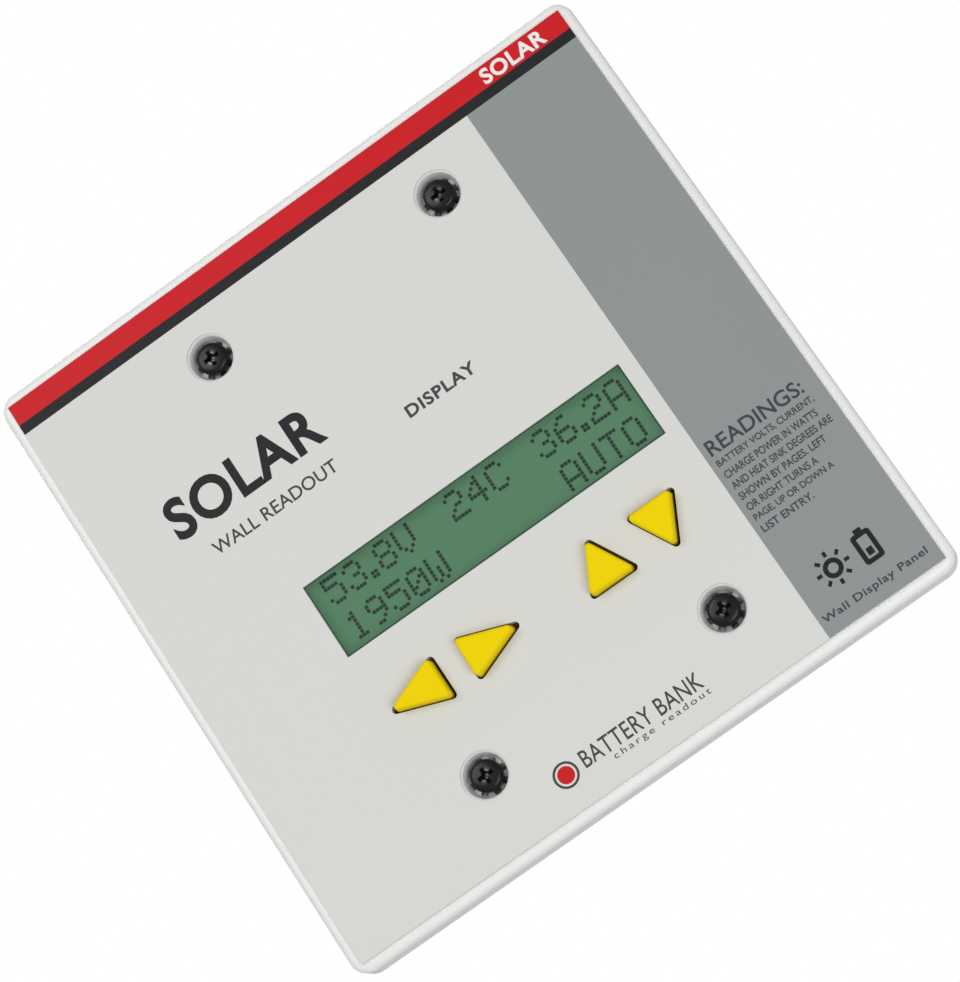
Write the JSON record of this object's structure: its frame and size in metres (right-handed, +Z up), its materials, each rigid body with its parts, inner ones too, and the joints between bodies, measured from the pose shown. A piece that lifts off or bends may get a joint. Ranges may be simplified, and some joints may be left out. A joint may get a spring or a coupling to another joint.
{
  "type": "remote meter wall plate",
  "caption": "Wall-plate remote meter for a solar charge controller: printed cover plate, two-line display, four arrow keys and a rear cable jack.",
  "frame": {"origin": "centre of the four mounting screws, on the plane of the plate's rear rim, where it meets the wall", "axes": "-Y out of the face, towards the viewer; +Y into the wall, along the mounting screws; +Z up; +X to the viewer's right"},
  "size_m": [0.1158, 0.0246, 0.1142],
  "materials": {
    "plate_white": "moulded, light gloss",
    "overlay_print": "screen-printed film, fine satin texture",
    "window_clear": "clear polished sheet",
    "gasket_black": "closed-cell foam",
    "bezel_steel": "black satin",
    "lcd_glass": "thin display glass",
    "contact_rubber": "matte",
    "light_guide": "frosted",
    "board_laminate": "solder mask over glass laminate",
    "key_yellow": "moulded satin",
    "switch_body": "matte",
    "switch_steel": "bright tin plate",
    "switch_plunger": "matte",
    "jack_plastic": "moulded",
    "contact_gold": "gold plated",
    "chip_epoxy": "moulded epoxy",
    "lead_tin": "tin plate",
    "can_metal": "bright",
    "resistor_film": "glazed",
    "capacitor_ceramic": "fired ceramic",
    "screw_black": "black oxide",
    "screw_steel": "zinc plate",
    "insert_brass": "machined"
  },
  "bodies": {
    "plate": {"front_plate": "plate_white", "graphic_overlay": "overlay_print", "display_window": "window_clear", "display_gasket": "gasket_black", "lcd_bezel": "bezel_steel", "lcd_front_glass": "lcd_glass", "lcd_rear_glass": "lcd_glass", "lcd_contact_strip_upper": "contact_rubber", "lcd_contact_strip_lower": "contact_rubber", "lcd_backlight": "light_guide", "main_board": "board_laminate", "jack_housing": "jack_plastic", "jack_contacts": "contact_gold", "controller_chip": "chip_epoxy", "controller_chip_leads": "lead_tin", "transceiver_chip": "chip_epoxy", "transceiver_chip_leads": "lead_tin", "voltage_regulator": "chip_epoxy", "regulator_terminals": "lead_tin", "capacitor_feet": "switch_body", "capacitor_cans": "can_metal", "crystal": "switch_steel", "chip_resistors": "resistor_film", "chip_capacitors": "capacitor_ceramic", "mounting_screws": "screw_black", "lock_washers": "screw_black", "board_screws": "screw_steel", "threaded_inserts": "insert_brass", "switch_base_left": "switch_body", "switch_cover_left": "switch_steel", "switch_dome_left": "switch_steel", "switch_pins_left": "lead_tin", "switch_base_right": "switch_body", "switch_cover_right": "switch_steel", "switch_dome_right": "switch_steel", "switch_pins_right": "lead_tin", "switch_base_up": "switch_body", "switch_cover_up": "switch_steel", "switch_dome_up": "switch_steel", "switch_pins_up": "lead_tin", "switch_base_down": "switch_body", "switch_cover_down": "switch_steel", "switch_dome_down": "switch_steel", "switch_pins_down": "lead_tin"},
    "left_key": {"key_left": "key_yellow", "switch_plunger_left": "switch_plunger"},
    "right_key": {"key_right": "key_yellow", "switch_plunger_right": "switch_plunger"},
    "up_key": {"key_up": "key_yellow", "switch_plunger_up": "switch_plunger"},
    "down_key": {"key_down": "key_yellow", "switch_plunger_down": "switch_plunger"}
  },
  "joints": [
    {"name": "press_left", "type": "slide", "parent": "plate", "child": "left_key", "axis": [0, 1, 0], "range_m": [0, 0.0003], "stiffness_N_per_m": 5000, "deforming": ["switch_dome_left"]},
    {"name": "press_right", "type": "slide", "parent": "plate", "child": "right_key", "axis": [0, 1, 0], "range_m": [0, 0.0003], "stiffness_N_per_m": 5000, "deforming": ["switch_dome_right"]},
    {"name": "press_up", "type": "slide", "parent": "plate", "child": "up_key", "axis": [0, 1, 0], "range_m": [0, 0.0003], "stiffness_N_per_m": 5000, "deforming": ["switch_dome_up"]},
    {"name": "press_down", "type": "slide", "parent": "plate", "child": "down_key", "axis": [0, 1, 0], "range_m": [0, 0.0003], "stiffness_N_per_m": 5000, "deforming": ["switch_dome_down"]}
  ]
}
